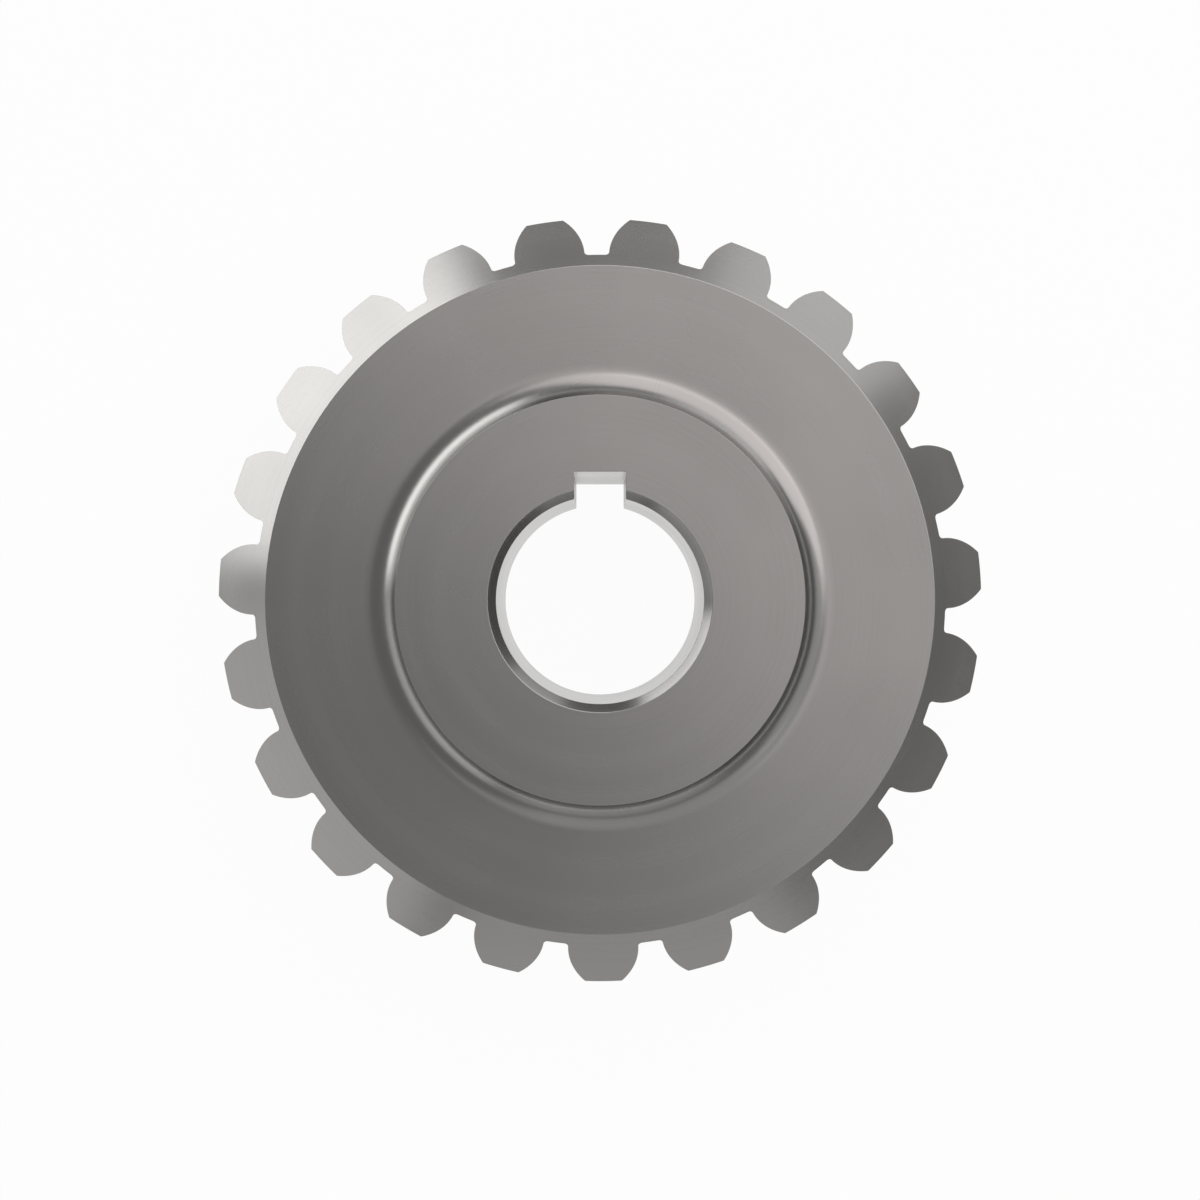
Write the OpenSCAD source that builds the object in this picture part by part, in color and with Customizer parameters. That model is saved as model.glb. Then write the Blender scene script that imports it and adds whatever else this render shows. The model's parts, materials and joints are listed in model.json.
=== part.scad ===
// Straight bevel gear with a hub and a keyed bore
//
// One piece of steel: a turned blank, tooth spaces that all run to the pitch apex,
// a plain bore and a keyway through its whole length.
// The gear lies on its front boss, axis along +Z, hub on top, keyway towards +Y.
// The origin is on the axis, in the front boss's face. Sizes in millimetres, angles in degrees.

/* [Teeth] */
// Teeth on this gear
teeth = 23; // [20:1:32]
// Teeth on the gear that it runs with, on a shaft at a right angle
mate_teeth = 30; // [23:1:38]
// Pitch diameter for each tooth, at the large end
tooth_module = 4; // [3.8:0.05:4.6]
// Tooth height above the pitch line, at the large end
addendum = 3.2; // [2.4:0.05:3.6]
// Tooth depth below the pitch line, at the large end
dedendum = 3.3; // [2.8:0.05:4]
// Length of a tooth along the pitch cone
face_w = 22; // [16:0.5:25]
// Greatest thickness of a tooth, at the large end
tooth_t = 8.88; // [7:0.02:9.2]
// Radius of a tooth flank's arc, at the large end
flank_r = 9; // [8:0.1:14]
// Depth of the thickest place of a tooth below the pitch line
flank_drop = 2.6; // [1.6:0.1:3]
// Radius in the corners of a tooth space
root_fillet = 0.5; // [0.2:0.05:0.8]
// Turn of the tooth spaces away from the keyway's middle
key_clock = 0.53; // [0:0.01:7]

/* [Back] */
// Width of plain cone left under the tooth roots, large end
heel_band = 1.9; // [0.8:0.1:4]
// Diameter of the hub
hub_d = 50; // [42:0.5:64]
// Height of the hub above the flat back
hub_h = 8; // [5:0.5:16]
// Radius where the hub meets the flat back
hub_fillet = 4; // [1:0.1:4.8]

/* [Front] */
// Width of plain cone left under the tooth roots, small end
toe_band = 1.6; // [0.6:0.1:3]
// Diameter of the front boss
boss_d = 50; // [42:0.5:53]
// Distance that the front boss stands out past the teeth
boss_proud = 1; // [0.2:0.1:4]
// Radius where the front boss meets the front recess
boss_fillet = 2; // [0.5:0.1:3]
// Chamfer on the front boss's edge
boss_chamfer = 0.6; // [0.2:0.1:1.2]

/* [Bore] */
// Diameter of the bore, one inch
bore_d = 25.4; // [19:0.1:30]
// Chamfer at each end of the bore
bore_chamfer = 1; // [0.3:0.1:2]
// Width of the keyway, a quarter of an inch
key_w = 6.35; // [4:0.05:8]
// Keyway floor to the far side of the bore
key_across = 28.3; // [27:0.1:33]

/* [Hidden] */

// Room that a cut runs past the surface it opens
over = 1;
// Straight steps along a flank and round a space's corner
flank_steps = 8;
corner_steps = 3;
// Facets of a full turn on the blank and on its small fillets
turn_fn = 144;
fillet_fn = 40;

steel = [0.56, 0.56, 0.55];

// Pitch cone: its angle, its large circle and the distances of that circle from the apex
pitch_angle = atan(teeth / mate_teeth);
pitch_r = teeth * tooth_module / 2;
apex_h = pitch_r / tan(pitch_angle);
cone_len = pitch_r / sin(pitch_angle);

// Small end as a share of the large end, because every tooth line runs to the apex
toe_share = 1 - face_w / cone_len;

// Turned points as [radius, height over the pitch apex]
down_cone = [cos(pitch_angle), -sin(pitch_angle)];
heel_pitch = [pitch_r, apex_h];
heel_tip = heel_pitch + addendum * down_cone;
heel_root = heel_pitch - dedendum * down_cone;
back_edge = heel_root - heel_band * down_cone;
toe_tip = toe_share * heel_tip;
toe_root = toe_share * heel_root;
recess_edge = toe_root - toe_band * down_cone;

// Heights over the front face, which the gear lies on
front_h = toe_tip[1] - boss_proud;
recess_z = recess_edge[1] - front_h;
back_z = back_edge[1] - front_h;
top_z = back_z + hub_h;
function turned(p) = [p[0], p[1] - front_h];

// Tooth flank on the unrolled back cone: x from the tooth's middle, y from the back cone's apex
unrolled_r = pitch_r / cos(pitch_angle);
root_r = unrolled_r - dedendum;
flank_c = [tooth_t / 2 - flank_r, unrolled_r - flank_drop];

// Centre of the corner arc, which touches the flank and the floor of the space
corner_from_floor = root_r + root_fillet;
corner_from_flank = flank_r + root_fillet;
flank_c_len = norm(flank_c);
corner_along = (pow(corner_from_floor, 2) - pow(corner_from_flank, 2) + pow(flank_c_len, 2)) / (2 * flank_c_len);
corner_aside = sqrt(pow(corner_from_floor, 2) - pow(corner_along, 2));
flank_dir = flank_c / flank_c_len;
corner_c = corner_along * flank_dir + corner_aside * [flank_dir[1], -flank_dir[0]];

// The flank's arc from past the tip down to the corner, then the corner's arc down to the floor
flank_top = asin((flank_drop + addendum + over) / flank_r);
flank_end = atan2(corner_c[1] - flank_c[1], corner_c[0] - flank_c[0]);
corner_start = flank_end + 180;
corner_end = 180 + atan2(corner_c[1], corner_c[0]);
function arc_point(centre, r, a) = centre + r * [cos(a), sin(a)];
flank_side = concat(
    [for (i = [0 : flank_steps])
        arc_point(flank_c, flank_r, flank_top + (flank_end - flank_top) * i / flank_steps)],
    [for (i = [1 : corner_steps])
        arc_point(corner_c, root_fillet, corner_start + (corner_end - corner_start) * i / corner_steps)]
);

// An unrolled point as seen along the axis, on a flat section at height h over the apex
half_pitch = 180 / teeth;
function section_r(p, h) =
    let (up = norm(p) - unrolled_r)
    h * (pitch_r + up * cos(pitch_angle)) / (apex_h - up * sin(pitch_angle));
function section_a(p) = half_pitch - atan2(p[0], p[1]) / cos(pitch_angle);
function section_point(p, h, side) =
    section_r(p, h) * [side * sin(section_a(p)), cos(section_a(p))];
function space_outline(h) = concat(
    [for (p = flank_side) section_point(p, h, 1)],
    [for (i = [len(flank_side) - 1 : -1 : 0]) section_point(flank_side[i], h, -1)]
);

// Half section of the turned blank
module blank_section() {
    polygon([
        [0, 0],
        [boss_d / 2 - boss_chamfer, 0],
        [boss_d / 2, boss_chamfer],
        [boss_d / 2, recess_z],
        turned(recess_edge),
        turned(toe_tip),
        turned(heel_tip),
        turned(back_edge),
        [hub_d / 2, back_z],
        [hub_d / 2, top_z],
        [0, top_z]
    ]);
    translate([hub_d / 2, back_z])
        corner_fill(hub_fillet);
    translate([boss_d / 2, recess_z])
        mirror([0, 1])
            corner_fill(boss_fillet);
}

// Metal left in an inside corner by a round-nosed tool
module corner_fill(r) {
    difference() {
        square(r);
        translate([r, r])
            circle(r = r, $fn = fillet_fn);
    }
}

module blank() {
    rotate_extrude($fn = turn_fn)
        blank_section();
}

// One tooth space, widening from the small end to the large end on lines through the apex
module tooth_space() {
    near_h = front_h - over;
    far_h = back_edge[1] + over;
    translate([0, 0, -over])
        linear_extrude(height = far_h - near_h, scale = far_h / near_h)
            polygon(space_outline(near_h));
}

module tooth_spaces() {
    for (i = [0 : teeth - 1])
        rotate(key_clock + i * 360 / teeth)
            tooth_space();
}

// Bore with a chamfer at each end
module bore() {
    mouth = bore_chamfer + over;
    translate([0, 0, -over])
        cylinder(d = bore_d, h = top_z + 2 * over, $fn = turn_fn);
    translate([0, 0, -over])
        cylinder(r1 = bore_d / 2 + mouth, r2 = bore_d / 2, h = mouth, $fn = turn_fn);
    translate([0, 0, top_z - bore_chamfer])
        cylinder(r1 = bore_d / 2, r2 = bore_d / 2 + mouth, h = mouth, $fn = turn_fn);
}

module keyway() {
    translate([-key_w / 2, 0, -over])
        cube([key_w, key_across - bore_d / 2, top_z + 2 * over]);
}

module bevel_gear() {
    color(steel)
        difference() {
            blank();
            tooth_spaces();
            bore();
            keyway();
        }
}

bevel_gear();
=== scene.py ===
"""Straight bevel gear with a hub and a keyed bore: satin machined steel in a plain studio."""

import json
import math

import bmesh
import bpy
from mathutils import Matrix, Vector


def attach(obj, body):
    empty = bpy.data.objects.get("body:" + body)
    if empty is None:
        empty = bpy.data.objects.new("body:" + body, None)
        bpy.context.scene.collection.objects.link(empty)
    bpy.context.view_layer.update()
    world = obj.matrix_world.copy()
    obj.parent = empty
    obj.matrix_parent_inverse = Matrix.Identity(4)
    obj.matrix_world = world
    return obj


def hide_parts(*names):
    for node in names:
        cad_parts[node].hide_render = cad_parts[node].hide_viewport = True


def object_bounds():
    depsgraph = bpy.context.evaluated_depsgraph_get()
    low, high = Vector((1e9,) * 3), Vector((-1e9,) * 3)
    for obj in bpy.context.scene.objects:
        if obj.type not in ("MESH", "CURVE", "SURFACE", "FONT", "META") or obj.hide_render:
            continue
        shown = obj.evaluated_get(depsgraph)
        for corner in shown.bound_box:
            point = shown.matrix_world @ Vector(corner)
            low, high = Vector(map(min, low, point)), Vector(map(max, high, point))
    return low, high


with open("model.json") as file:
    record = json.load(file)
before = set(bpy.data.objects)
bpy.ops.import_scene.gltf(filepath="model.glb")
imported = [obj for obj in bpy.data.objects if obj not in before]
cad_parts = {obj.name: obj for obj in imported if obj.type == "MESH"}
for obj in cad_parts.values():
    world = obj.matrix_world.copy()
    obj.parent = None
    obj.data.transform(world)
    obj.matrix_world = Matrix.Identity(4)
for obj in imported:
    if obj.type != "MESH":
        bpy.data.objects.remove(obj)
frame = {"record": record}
cad_low, cad_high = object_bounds()

MM = 0.001

# Teeth, with sizes at the large end
TEETH = 23
MATE_TEETH = 30
PITCH_R = 46 * MM
ADDENDUM = 3.2 * MM
DEDENDUM = 3.3 * MM
FACE_W = 22 * MM
TOOTH_T = 8.88 * MM
FLANK_R = 9 * MM
FLANK_DROP = 2.6 * MM
ROOT_FILLET = 0.5 * MM
KEY_CLOCK = math.radians(0.53)

# Plain cone left under the tooth roots, at the large and the small end
HEEL_BAND = 1.9 * MM
TOE_BAND = 1.6 * MM

# Hub on the back, boss on the front
HUB_R = 25 * MM
HUB_FILLET = 4 * MM
BOSS_R = 25 * MM
BOSS_PROUD = 1 * MM
BOSS_FILLET = 2 * MM
BOSS_CHAMFER = 0.6 * MM

# Bore and keyway
BORE = next(mount for mount in frame["record"]["mounts"] if mount["name"] == "bore")
BORE_R = BORE["dims"]["r_mm"] * MM
BORE_CHAMFER = 1 * MM
KEY_W = 6.35 * MM
KEY_FLOOR_Y = 15.6 * MM

# Circle on both end faces, just outside the keyway, where the keyway's cuts stop
KEY_RING_R = 17 * MM

# Sharp edges are broken by this much, as a deburring tool leaves them
EDGE_BREAK = 0.045 * MM
EDGE_SEGMENTS = 2
SHARP_ANGLE = math.radians(25)

# Mesh steps
TOOTH_COLUMNS = 8
FLANK_ROWS = 12
CORNER_STEPS = 4
RING_COLUMNS = 6
TURN_STEPS = TEETH * RING_COLUMNS
FILLET_STEPS = 12
FLAT_STRIP = 0.6 * MM
TOUCH = 0.001 * MM

# Pitch cone, with its apex below the gear
PITCH_ANGLE = math.atan(TEETH / MATE_TEETH)
COS_PITCH = math.cos(PITCH_ANGLE)
SIN_PITCH = math.sin(PITCH_ANGLE)
APEX_H = PITCH_R / math.tan(PITCH_ANGLE)
TOE_SHARE = 1 - FACE_W * SIN_PITCH / PITCH_R
APEX = Vector((0, 0, BOSS_PROUD - TOE_SHARE * (APEX_H - ADDENDUM * SIN_PITCH)))

# Turned edges, as radius and height
TIP_R = PITCH_R + ADDENDUM * COS_PITCH
BACK_R = PITCH_R - (DEDENDUM + HEEL_BAND) * COS_PITCH
BACK_Z = APEX.z + APEX_H + (DEDENDUM + HEEL_BAND) * SIN_PITCH
RECESS_R = TOE_SHARE * (PITCH_R - DEDENDUM * COS_PITCH) - TOE_BAND * COS_PITCH
RECESS_Z = APEX.z + TOE_SHARE * (APEX_H + DEDENDUM * SIN_PITCH) + TOE_BAND * SIN_PITCH
TOP_Z = cad_high.z

# Tooth form on the unrolled heel cone: x across the tooth, y from the cone's point
UNROLLED_R = PITCH_R / COS_PITCH
ROOT_R = UNROLLED_R - DEDENDUM
FLANK_C = Vector((TOOTH_T / 2 - FLANK_R, UNROLLED_R - FLANK_DROP))
HALF_PITCH = math.pi / TEETH

# Slots of the gear's materials
TURNED, CUT, BROACHED, RUBBED = range(4)


def arc_point(centre, radius, angle):
    """Point of an arc on the unrolled heel cone."""
    return centre + radius * Vector((math.cos(angle), math.sin(angle)))


def round_place(radius, angle, z):
    """Point at an angle from +Y about the gear's axis."""
    return Vector((radius * math.sin(angle), radius * math.cos(angle), z))


def turn_angle(point):
    """Angle of a point from +Y about the gear's axis."""
    return math.atan2(point.x, point.y)


def heel_place(flat):
    """Wraps a point of the unrolled tooth form on to the heel cone."""
    up = flat.length - UNROLLED_R
    angle = math.atan2(flat.x, flat.y) / COS_PITCH
    return round_place(PITCH_R + up * COS_PITCH, angle, APEX.z + APEX_H - up * SIN_PITCH)


def corner_centre():
    """Centre of the root corner's arc, which touches the flank and the floor of the space."""
    from_floor = ROOT_R + ROOT_FILLET
    from_flank = FLANK_R + ROOT_FILLET
    reach = FLANK_C.length
    along = (from_floor ** 2 - from_flank ** 2 + reach ** 2) / (2 * reach)
    aside = math.sqrt(from_floor ** 2 - along ** 2)
    outward = FLANK_C / reach
    return along * outward + aside * Vector((outward.y, -outward.x))


CORNER_C = corner_centre()
FLANK_LOW = math.atan2(CORNER_C.y - FLANK_C.y, CORNER_C.x - FLANK_C.x)


def flank_high():
    """Angle on the flank's arc where it meets the tooth tip."""
    reach = FLANK_C.length
    tip = UNROLLED_R + ADDENDUM
    lift = (tip ** 2 - reach ** 2 - FLANK_R ** 2) / (2 * reach * FLANK_R)
    return math.atan2(FLANK_C.y, FLANK_C.x) - math.acos(lift)


FLANK_HIGH = flank_high()


def flank_end(row):
    """Flank point of one row of the tooth's heel face."""
    angle = FLANK_LOW + (FLANK_HIGH - FLANK_LOW) * row / FLANK_ROWS
    return heel_place(arc_point(FLANK_C, FLANK_R, angle))


def root_corner():
    """Corner of a tooth space from the flank down to the floor, then the floor's middle."""
    start = FLANK_LOW + math.pi
    end = math.pi + math.atan2(CORNER_C.y, CORNER_C.x)
    angles = [start + (end - start) * i / CORNER_STEPS for i in range(CORNER_STEPS + 1)]
    corner = [heel_place(arc_point(CORNER_C, ROOT_FILLET, angle)) for angle in angles]
    middle = HALF_PITCH * COS_PITCH
    return corner + [heel_place(ROOT_R * Vector((math.sin(middle), math.cos(middle))))]


def grow_edges(mesh, edges, place):
    """Extrudes a row of edges and puts each new point where place says."""
    grown = bmesh.ops.extrude_edge_only(mesh, edges=edges)["geom"]
    verts = {item for item in grown if isinstance(item, bmesh.types.BMVert)}
    for vert in verts:
        vert.co = place(vert.co)
    return [edge for edge in mesh.edges if verts.issuperset(edge.verts)]


def heel_of_one_tooth(mesh):
    """One tooth's share of the large end: its face, the corners beside it and the band under it."""
    right = root_corner()
    left = [Vector((-point.x, point.y, point.z)) for point in reversed(right)]
    base = right[0]
    half = turn_angle(base)
    shares = [2 * i / TOOTH_COLUMNS - 1 for i in range(1, TOOTH_COLUMNS)]
    middle = [round_place(base.xy.length, share * half, base.z) for share in shares]
    line = [mesh.verts.new(point) for point in left + middle + right]
    root_edges = [mesh.edges.new(pair) for pair in zip(line, line[1:])]
    row_edges = root_edges[len(left) - 1:len(left) - 1 + TOOTH_COLUMNS]

    for row in range(1, FLANK_ROWS + 1):
        old, new = flank_end(row - 1), flank_end(row)
        stretch = turn_angle(new) / turn_angle(old)
        row_edges = grow_edges(
            mesh, row_edges,
            lambda co: round_place(new.xy.length, stretch * turn_angle(co), new.z))

    band_edges = grow_edges(
        mesh, root_edges, lambda co: round_place(BACK_R, turn_angle(co), BACK_Z))
    column = 2 * HALF_PITCH / RING_COLUMNS
    strip_r = BACK_R - FLAT_STRIP
    grow_edges(
        mesh, band_edges,
        lambda co: round_place(strip_r, round(turn_angle(co) / column) * column, BACK_Z))


def toothed_rim(mesh):
    """The ring of teeth, with every line of a tooth running to the pitch apex."""
    heel_of_one_tooth(mesh)
    one_tooth = mesh.verts[:] + mesh.edges[:] + mesh.faces[:]
    bmesh.ops.spin(
        mesh, geom=one_tooth, cent=(0, 0, 0), axis=(0, 0, 1),
        angle=2 * math.pi * (TEETH - 1) / TEETH, steps=TEETH - 1, use_duplicate=True)
    bmesh.ops.remove_doubles(mesh, verts=mesh.verts[:], dist=TOUCH)

    heel = set(mesh.verts)
    grown = bmesh.ops.extrude_face_region(mesh, geom=mesh.faces[:])["geom"]
    for vert in (item for item in grown if isinstance(item, bmesh.types.BMVert)):
        angle, radius = turn_angle(vert.co), vert.co.xy.length
        if radius > BACK_R + TOUCH:
            vert.co = APEX.lerp(vert.co, TOE_SHARE)
        else:
            vert.co = round_place(RECESS_R + radius - BACK_R, angle, RECESS_Z)

    # Faces between the two ends: the inner ones make room for the hub, the rest are cut teeth
    inside = set()
    for face in mesh.faces:
        large_end = [vert for vert in face.verts if vert in heel]
        if 0 < len(large_end) < len(face.verts):
            reach = [vert.co.xy.length for vert in large_end]
            if max(reach) < BACK_R - TOUCH:
                inside.add(face)
            elif min(reach) < TIP_R - TOUCH:
                face.material_index = CUT
    bmesh.ops.delete(mesh, geom=list(inside), context="FACES")
    clocked = Matrix.Rotation(KEY_CLOCK + HALF_PITCH, 3, "Z")
    bmesh.ops.rotate(mesh, verts=mesh.verts[:], cent=(0, 0, 0), matrix=clocked)


def hub_and_boss(mesh):
    """Hub, chamfered bore and front boss, turned from one section line."""
    section = [
        (HUB_R + HUB_FILLET + FLAT_STRIP, BACK_Z),
        (HUB_R, BACK_Z),
        (HUB_R, TOP_Z),
        (KEY_RING_R, TOP_Z),
        (BORE_R + BORE_CHAMFER, TOP_Z),
        (BORE_R, TOP_Z - BORE_CHAMFER),
        (BORE_R, BORE_CHAMFER),
        (BORE_R + BORE_CHAMFER, 0),
        (KEY_RING_R, 0),
        (BOSS_R - BOSS_CHAMFER, 0),
        (BOSS_R, BOSS_CHAMFER),
        (BOSS_R, RECESS_Z),
        (BOSS_R + BOSS_FILLET + FLAT_STRIP, RECESS_Z),
    ]
    line = [mesh.verts.new((radius, 0, z)) for radius, z in section]
    for pair in zip(line, line[1:]):
        mesh.edges.new(pair)
    for corner, radius in ((line[1], HUB_FILLET), (line[-2], BOSS_FILLET)):
        bmesh.ops.bevel(
            mesh, geom=[corner], offset=radius, offset_type="OFFSET", affect="VERTICES",
            segments=FILLET_STEPS, profile=0.5, material=-1)
    edges = [edge for edge in mesh.edges if edge.is_wire]
    verts = list({vert for edge in edges for vert in edge.verts})
    bmesh.ops.spin(
        mesh, geom=verts + edges, cent=(0, 0, 0), axis=(0, 0, 1),
        angle=2 * math.pi, steps=TURN_STEPS, use_merge=True)


def beside_key(face, half_width):
    """Whether a face lies within a half width of the keyway's middle, round the bore."""
    middle = face.calc_center_median()
    return middle.y > 0 and abs(middle.x) < half_width and middle.xy.length < KEY_RING_R


def in_key_wall(edge, axis, place):
    """Whether an edge lies in the keyway's wall at one place along x or y."""
    return all(
        abs(vert.co[axis] - place) < TOUCH and 0 < vert.co.y < KEY_RING_R
        for vert in edge.verts)


def keyway(mesh):
    """Square keyway, broached through the whole length of the bore."""
    cuts = (
        (Vector((KEY_W / 2, 0, 0)), Vector((1, 0, 0)), KEY_W),
        (Vector((-KEY_W / 2, 0, 0)), Vector((1, 0, 0)), KEY_W),
        (Vector((0, KEY_FLOOR_Y, 0)), Vector((0, 1, 0)), KEY_W / 2),
    )
    for place, normal, half_width in cuts:
        faces = [face for face in mesh.faces if beside_key(face, half_width)]
        edges = {edge for face in faces for edge in face.edges}
        verts = {vert for face in faces for vert in face.verts}
        bmesh.ops.bisect_plane(
            mesh, geom=faces + list(edges) + list(verts), dist=TOUCH,
            plane_co=place, plane_no=normal)
    cleared = [
        face for face in mesh.faces
        if beside_key(face, KEY_W / 2) and face.calc_center_median().y < KEY_FLOOR_Y]
    bmesh.ops.delete(mesh, geom=cleared, context="FACES")

    for side in (-1, 1):
        corner = Vector((side * KEY_W / 2, KEY_FLOOR_Y))
        mesh.edges.new([vert for vert in mesh.verts if (vert.co.xy - corner).length < TOUCH])
    open_edges = [edge for edge in mesh.edges if edge.is_boundary or edge.is_wire]
    for axis, place in ((0, -KEY_W / 2), (0, KEY_W / 2), (1, KEY_FLOOR_Y)):
        loop = [edge for edge in open_edges if in_key_wall(edge, axis, place)]
        bmesh.ops.edgeloop_fill(mesh, edges=loop, mat_nr=BROACHED, use_smooth=True)


def open_ring(mesh, radius, z):
    """Open edges on one circle about the gear's axis."""
    def on_circle(vert):
        return abs(vert.co.xy.length - radius) < TOUCH and abs(vert.co.z - z) < TOUCH

    return [edge for edge in mesh.edges if edge.is_boundary and all(map(on_circle, edge.verts))]


def join_rings(mesh, outer, inner):
    """Flat between two circles. One is lifted meanwhile, because a bridge needs a way across."""
    lifted = list({vert for edge in inner for vert in edge.verts})
    lift = Vector((0, 0, HUB_R))
    bmesh.ops.translate(mesh, verts=lifted, vec=lift)
    bmesh.ops.bridge_loops(mesh, edges=outer + inner)
    bmesh.ops.translate(mesh, verts=lifted, vec=-lift)


def break_edges(mesh):
    """Small rounds on all sharp edges, marked as weaker than the faces beside them for shading."""
    sharp = [
        edge for edge in mesh.edges
        if edge.is_manifold and edge.calc_face_angle() > SHARP_ANGLE]
    broken = bmesh.ops.bevel(
        mesh, geom=sharp, offset=EDGE_BREAK, offset_type="OFFSET", affect="EDGES",
        segments=EDGE_SEGMENTS, profile=0.5, material=-1, clamp_overlap=True,
        face_strength_mode="ALL")
    for face in broken["faces"]:
        face.material_index = RUBBED


def mesh_object(name, mesh):
    """Object in the scene, made from a finished mesh."""
    data = bpy.data.meshes.new(name)
    mesh.to_mesh(data)
    mesh.free()
    made = bpy.data.objects.new(name, data)
    bpy.context.scene.collection.objects.link(made)
    return made


def bevel_gear():
    """The whole gear as one closed skin with broken edges."""
    mesh = bmesh.new()
    toothed_rim(mesh)
    hub_and_boss(mesh)
    keyway(mesh)
    web = open_ring(mesh, BACK_R - FLAT_STRIP, BACK_Z)
    hub = open_ring(mesh, HUB_R + HUB_FILLET + FLAT_STRIP, BACK_Z)
    recess = open_ring(mesh, RECESS_R - FLAT_STRIP, RECESS_Z)
    boss = open_ring(mesh, BOSS_R + BOSS_FILLET + FLAT_STRIP, RECESS_Z)
    join_rings(mesh, web, hub)
    join_rings(mesh, recess, boss)
    bmesh.ops.remove_doubles(mesh, verts=mesh.verts[:], dist=TOUCH)
    bmesh.ops.recalc_face_normals(mesh, faces=mesh.faces[:])
    break_edges(mesh)
    for face in mesh.faces:
        face.smooth = True
    made = mesh_object("bevel_gear_steel", mesh)
    shading = made.modifiers.new("even_faces", "WEIGHTED_NORMAL")
    shading.mode = "CORNER_ANGLE"
    shading.use_face_influence = True
    return made


# Materials

STEEL_DARK = (0.347, 0.339, 0.33, 1)
STEEL_LIGHT = (0.407, 0.398, 0.388, 1)
STEEL_EDGE = (0.47, 0.462, 0.452, 1)

# Tool marks per metre, or across the teeth per unit of slope, and how deep they go
TURNED_MARKS, TURNED_DEPTH = 3000.0, 0.0008 * MM
CUT_MARKS, CUT_DEPTH = 170.0, 0.0015 * MM
BROACHED_MARKS, BROACHED_DEPTH = 3500.0, 0.002 * MM
RUBBED_MARKS, RUBBED_DEPTH = 1500.0, 0.0006 * MM

# Smoothest and roughest places of each finish
TURNED_ROUGH = (0.23, 0.3)
CUT_ROUGH = (0.24, 0.32)
RUBBED_ROUGH = (0.2, 0.3)

# Noise of the marks: its detail, how far its octaves fade, and a band's scale beside a groove's
GROOVE_DETAIL = 2.0
BAND_DETAIL = 1.0
GROOVE_FADE = 0.6
BROACH_FADE = 0.5
RING_BAND = 0.09
LINE_BAND = 0.12

# Along a turned section, height counts this many times as much as radius, and the rings wander
RING_CLIMB = 2.3
WANDER_SCALE = 90.0
WANDER_DETAIL = 1.0
WANDER = 0.06 * MM

# Smudges: their size, detail and the part of the noise that shows
SMUDGE_SIZE = 20 * MM
SMUDGE_DETAIL = 2.0
SMUDGE_LOW, SMUDGE_HIGH = 0.25, 0.75

# What each mark adds to the steel's lightness and to its roughness
TONE_BASE = 0.35
TONE_GROOVE = 0.35
TONE_BAND = 0.3
TONE_SMUDGE = -0.35
ROUGH_BAND = 0.5
ROUGH_SMUDGE = 0.5


def put(tree, kind, inputs=None, **settings):
    """Adds a shader node, sets its options, and sets or links its inputs by name or place."""
    made = tree.nodes.new(kind)
    for name, value in settings.items():
        setattr(made, name, value)
    for key, value in (inputs or {}).items():
        if isinstance(value, bpy.types.NodeSocket):
            tree.links.new(value, made.inputs[key])
        else:
            made.inputs[key].default_value = value
    return made


def maths(tree, operation, *values, clamp=False):
    """One step of arithmetic between sockets and numbers."""
    inputs = dict(enumerate(values))
    return put(tree, "ShaderNodeMath", inputs, operation=operation, use_clamp=clamp).outputs[0]


def blend_colour(tree, share, low, high):
    """Colour between two others by a share, on the Mix node's colour sockets."""
    return put(tree, "ShaderNodeMix", {0: share, 6: low, 7: high}, data_type="RGBA").outputs[2]


def spread_value(tree, share, low, high):
    """Number between two others by a share."""
    inputs = {"Value": share, "To Min": low, "To Max": high}
    return put(tree, "ShaderNodeMapRange", inputs).outputs[0]


def new_group(name, inputs, outputs):
    """Shader node group with number inputs and number outputs."""
    tree = bpy.data.node_groups.new(name, "ShaderNodeTree")
    for label, value in inputs.items():
        socket = tree.interface.new_socket(
            label, in_out="INPUT", socket_type="NodeSocketFloat")
        socket.default_value = value
    for label in outputs:
        tree.interface.new_socket(label, in_out="OUTPUT", socket_type="NodeSocketFloat")
    given = tree.nodes.new("NodeGroupInput").outputs
    out = tree.nodes.new("NodeGroupOutput").inputs
    return tree, given, out


def object_place(tree):
    """Object coordinates, whole and as x, y and z."""
    whole = put(tree, "ShaderNodeTexCoord").outputs["Object"]
    return whole, put(tree, "ShaderNodeSeparateXYZ", {0: whole}).outputs


def lay_marks(tree, out, place, scale, fade, band_share, dimensions):
    """Noise over one place as fine grooves and as broad bands of them, to a group's outputs."""
    where = "W" if dimensions == "1D" else "Vector"
    groove = put(
        tree, "ShaderNodeTexNoise",
        {where: place, "Scale": scale, "Detail": GROOVE_DETAIL, "Roughness": fade},
        noise_dimensions=dimensions)
    band_scale = maths(tree, "MULTIPLY", scale, band_share)
    band = put(
        tree, "ShaderNodeTexNoise",
        {where: place, "Scale": band_scale, "Detail": BAND_DETAIL},
        noise_dimensions=dimensions)
    tree.links.new(groove.outputs[0], out["Groove"])
    tree.links.new(band.outputs[0], out["Band"])


def turning_marks():
    """Fine rings that a lathe tool leaves, along the section of any turned face."""
    tree, given, out = new_group(
        "turning_marks", {"Marks per metre": TURNED_MARKS}, ["Groove", "Band"])
    whole, (x, y, z) = object_place(tree)
    square = maths(tree, "ADD", maths(tree, "MULTIPLY", x, x), maths(tree, "MULTIPLY", y, y))
    radius = maths(tree, "SQRT", square)
    along = maths(tree, "ADD", radius, maths(tree, "MULTIPLY", z, RING_CLIMB))
    drift = put(
        tree, "ShaderNodeTexNoise",
        {"Vector": whole, "Scale": WANDER_SCALE, "Detail": WANDER_DETAIL}).outputs[0]
    along = maths(tree, "ADD", along, maths(tree, "MULTIPLY", drift, WANDER))
    lay_marks(tree, out, along, given["Marks per metre"], GROOVE_FADE, RING_BAND, "1D")
    return tree


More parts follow.
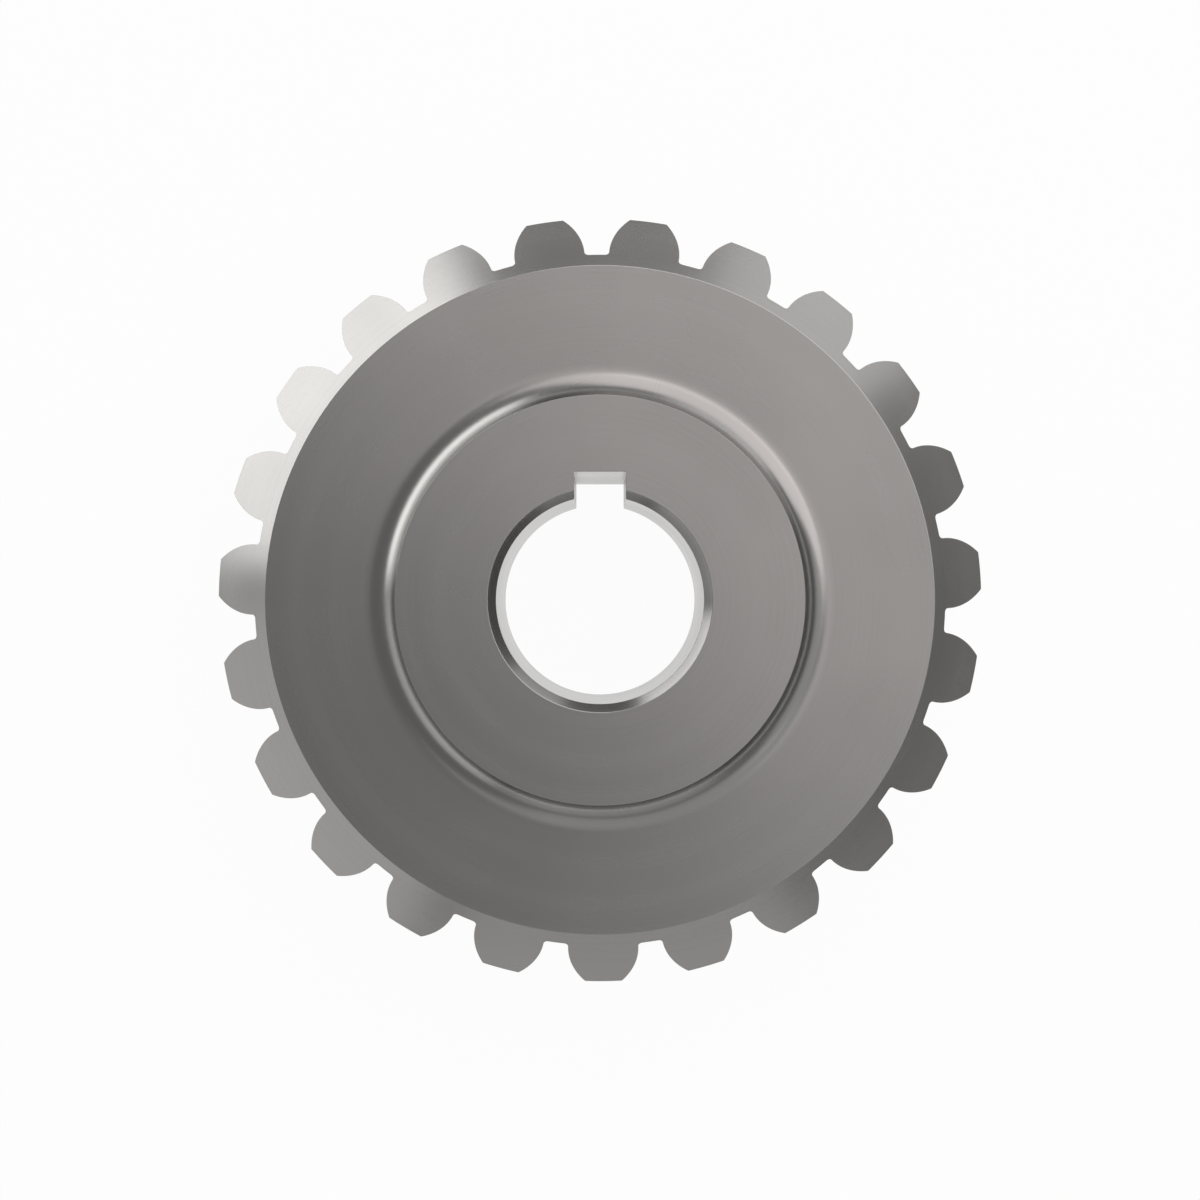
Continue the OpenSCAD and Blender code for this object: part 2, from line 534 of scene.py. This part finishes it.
def tooth_cut_marks():
    """Fine lines along the teeth, all running to the pitch apex."""
    tree, given, out = new_group(
        "tooth_cut_marks", {"Marks across": CUT_MARKS}, ["Groove", "Band"])
    _, (x, y, z) = object_place(tree)
    height = maths(tree, "SUBTRACT", z, APEX.z)
    slopes = {0: maths(tree, "DIVIDE", x, height), 1: maths(tree, "DIVIDE", y, height)}
    rays = put(tree, "ShaderNodeCombineXYZ", slopes).outputs[0]
    lay_marks(tree, out, rays, given["Marks across"], GROOVE_FADE, LINE_BAND, "2D")
    return tree


def broach_marks():
    """Straight lines that a broach drags along the keyway."""
    tree, given, out = new_group(
        "broach_marks", {"Marks per metre": BROACHED_MARKS}, ["Groove", "Band"])
    _, (x, y, _) = object_place(tree)
    across = put(tree, "ShaderNodeCombineXYZ", {0: x, 1: y}).outputs[0]
    lay_marks(tree, out, across, given["Marks per metre"], BROACH_FADE, LINE_BAND, "2D")
    return tree


def handling():
    """Soft smudges that oily fingers leave on bare steel."""
    tree, given, out = new_group("handling", {"Smudge size": SMUDGE_SIZE}, ["Smudge"])
    whole, _ = object_place(tree)
    scale = maths(tree, "DIVIDE", 1.0, given["Smudge size"])
    noise = put(
        tree, "ShaderNodeTexNoise",
        {"Vector": whole, "Scale": scale, "Detail": SMUDGE_DETAIL}).outputs[0]
    smudge = put(
        tree, "ShaderNodeMapRange",
        {"Value": noise, "From Min": SMUDGE_LOW, "From Max": SMUDGE_HIGH},
        interpolation_type="SMOOTHERSTEP").outputs[0]
    tree.links.new(smudge, out["Smudge"])
    return tree


def steel(name, marks, scale, depth, colours, roughness, handled):
    """Machined steel with its own tool marks, under the shared handling."""
    material = bpy.data.materials.new(name)
    material.use_nodes = True
    tree = material.node_tree
    shader = tree.nodes["Principled BSDF"]
    shader.inputs["Metallic"].default_value = 1.0
    tool = put(tree, "ShaderNodeGroup", node_tree=marks)
    tool.inputs[0].default_value = scale
    groove, band = tool.outputs["Groove"], tool.outputs["Band"]
    smudge = put(tree, "ShaderNodeGroup", node_tree=handled).outputs["Smudge"]

    tone = maths(tree, "MULTIPLY_ADD", groove, TONE_GROOVE, TONE_BASE)
    tone = maths(tree, "MULTIPLY_ADD", smudge, TONE_SMUDGE, tone)
    tone = maths(tree, "MULTIPLY_ADD", band, TONE_BAND, tone, clamp=True)
    tree.links.new(blend_colour(tree, tone, *colours), shader.inputs["Base Color"])

    rough = maths(tree, "MULTIPLY", smudge, ROUGH_SMUDGE)
    rough = maths(tree, "MULTIPLY_ADD", band, ROUGH_BAND, rough)
    tree.links.new(spread_value(tree, rough, *roughness), shader.inputs["Roughness"])

    bump = put(tree, "ShaderNodeBump", {"Strength": 1.0, "Distance": depth, "Height": groove})
    tree.links.new(bump.outputs[0], shader.inputs["Normal"])
    return material


def gear_steels():
    """The gear's materials, in the order of their slots."""
    touched, turned = handling(), turning_marks()
    cut, broached = tooth_cut_marks(), broach_marks()
    faces, edges = (STEEL_DARK, STEEL_LIGHT), (STEEL_LIGHT, STEEL_EDGE)
    finishes = (
        ("turned_steel", turned, TURNED_MARKS, TURNED_DEPTH, faces, TURNED_ROUGH),
        ("cut_tooth_steel", cut, CUT_MARKS, CUT_DEPTH, faces, CUT_ROUGH),
        ("broached_steel", broached, BROACHED_MARKS, BROACHED_DEPTH, faces, CUT_ROUGH),
        ("rubbed_edge_steel", turned, RUBBED_MARKS, RUBBED_DEPTH, edges, RUBBED_ROUGH),
    )
    return [steel(*finish, touched) for finish in finishes]


gear = bevel_gear()
for gear_steel in gear_steels():
    gear.data.materials.append(gear_steel)
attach(gear, "root")
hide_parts("bevel_gear")


# Studio

# White floor: its size, its turned-up edge, how far it stays under the gear, and its whites
FLOOR_R = 6.0
FLOOR_EDGE = 0.12
FLOOR_DROP = 0.02 * MM
FLOOR_SEGMENTS = 96
FLOOR_WHITE = (0.9, 0.9, 0.9, 1)
FLOOR_GLOW = (1, 1, 1, 1)
FLOOR_GLOW_SHARE = 0.96

# Room light, and its dark side: the middle's azimuth and elevation, and its inner and outer edge
ROOM_GREY = 0.232
ROOM_DARK = 0.1
DARK_MIDDLE = (95, -39)
DARK_INNER, DARK_OUTER = math.radians(52), math.radians(64)

# Soft boxes: name, azimuth, elevation, width, height, and the glow and colour of the face
LIGHT_DISTANCE = 0.9
PLAIN_WHITE = (1.0, 1.0, 1.0)
WARM_WHITE = (1.0, 0.96, 0.965)
SOFTBOXES = (
    ("key_above", 32, 44, 1.15, 0.85, 1.2, WARM_WHITE),
    ("overhead", 43, 76, 0.68, 0.48, 0.61, WARM_WHITE),
    ("left_wall", 307, 13, 1.05, 0.37, 2.15, PLAIN_WHITE),
    ("low_right", 36, 8, 0.54, 0.3, 0.77, PLAIN_WHITE),
    ("low_left", 240, 10, 1.0, 0.4, 0.54, PLAIN_WHITE),
    ("low_front", 176, 12, 0.95, 0.5, 0.29, PLAIN_WHITE),
    ("high_front", 165, 57, 0.85, 0.65, 0.33, PLAIN_WHITE),
    ("right_side", 103, 40, 0.75, 0.5, 0.33, PLAIN_WHITE),
)

# Camera's distance from the hub's face, and its lens and sensor in millimetres
CAMERA_ABOVE_HUB = 283 * MM
CAMERA_LENS = 69.8
CAMERA_SENSOR = 36.0


def floor_paper():
    """White to the eye and in reflections, clear from below, and it keeps the gear's shadow."""
    material = bpy.data.materials.new("floor_paper")
    material.use_nodes = True
    tree = material.node_tree
    tree.nodes.clear()
    ray = put(tree, "ShaderNodeLightPath").outputs
    seen = maths(tree, "MAXIMUM", ray["Is Camera Ray"], ray["Is Glossy Ray"])
    seen = maths(tree, "MAXIMUM", seen, ray["Is Transmission Ray"])
    share = maths(tree, "MULTIPLY", seen, FLOOR_GLOW_SHARE)
    paper = put(tree, "ShaderNodeBsdfDiffuse", {"Color": FLOOR_WHITE}).outputs[0]
    white = put(tree, "ShaderNodeEmission", {"Color": FLOOR_GLOW, "Strength": 1.0}).outputs[0]
    above = put(tree, "ShaderNodeMixShader", {0: share, 1: paper, 2: white}).outputs[0]
    below = put(tree, "ShaderNodeNewGeometry").outputs["Backfacing"]
    clear = put(tree, "ShaderNodeBsdfTransparent").outputs[0]
    surface = put(tree, "ShaderNodeMixShader", {0: below, 1: above, 2: clear}).outputs[0]
    put(tree, "ShaderNodeOutputMaterial", {"Surface": surface})
    return material


def white_floor():
    """Round white floor with a turned-up edge."""
    mesh = bmesh.new()
    bmesh.ops.create_circle(mesh, cap_ends=True, radius=FLOOR_R, segments=FLOOR_SEGMENTS)
    bmesh.ops.translate(mesh, verts=mesh.verts[:], vec=(0, 0, -FLOOR_DROP))
    grow_edges(mesh, mesh.edges[:], lambda co: co + Vector((0, 0, FLOOR_EDGE)))
    floor = mesh_object("white_floor", mesh)
    floor.data.materials.append(floor_paper())


def toward(azimuth, elevation):
    """Direction from the gear, in degrees clockwise from +Y and up from the floor."""
    lift = math.radians(elevation)
    return round_place(math.cos(lift), math.radians(azimuth), math.sin(lift))


def studio_room():
    """Grey room light, darker low down at the right, where the studio is open."""
    world = bpy.data.worlds.new("studio_room")
    world.use_nodes = True
    tree = world.node_tree
    place = put(tree, "ShaderNodeTexCoord").outputs["Object"]
    facing = put(
        tree, "ShaderNodeVectorMath", {0: place, 1: toward(*DARK_MIDDLE)},
        operation="DOT_PRODUCT").outputs["Value"]
    grey = put(
        tree, "ShaderNodeMapRange",
        {"Value": facing, "From Min": math.cos(DARK_OUTER), "From Max": math.cos(DARK_INNER),
         "To Min": ROOM_GREY, "To Max": ROOM_DARK},
        interpolation_type="SMOOTHSTEP").outputs[0]
    tree.links.new(grey, tree.nodes["Background"].inputs["Color"])
    bpy.context.scene.world = world


def softbox(name, azimuth, elevation, width, height, glow, colour):
    """Soft light aimed at the gear; glow is the brightness of its face."""
    place = LIGHT_DISTANCE * toward(azimuth, elevation)
    lamp = bpy.data.lights.new(name, "AREA")
    lamp.shape = "RECTANGLE"
    lamp.size = width
    lamp.size_y = height
    lamp.energy = glow * math.pi * width * height
    lamp.color = colour
    light = bpy.data.objects.new(name, lamp)
    light.location = place
    light.rotation_euler = (-place).to_track_quat("-Z", "Y").to_euler()
    bpy.context.scene.collection.objects.link(light)


def straight_down_camera():
    """Camera on the gear's axis above the hub, with the keyway at the top of the picture."""
    lens = bpy.data.cameras.new("axis_camera")
    lens.sensor_width = CAMERA_SENSOR
    lens.lens = CAMERA_LENS
    camera = bpy.data.objects.new("axis_camera", lens)
    camera.location = (0, 0, TOP_Z + CAMERA_ABOVE_HUB)
    bpy.context.scene.collection.objects.link(camera)
    bpy.context.scene.camera = camera


white_floor()
studio_room()
for box in SOFTBOXES:
    softbox(*box)
straight_down_camera()
bpy.context.scene.view_settings.view_transform = "Standard"
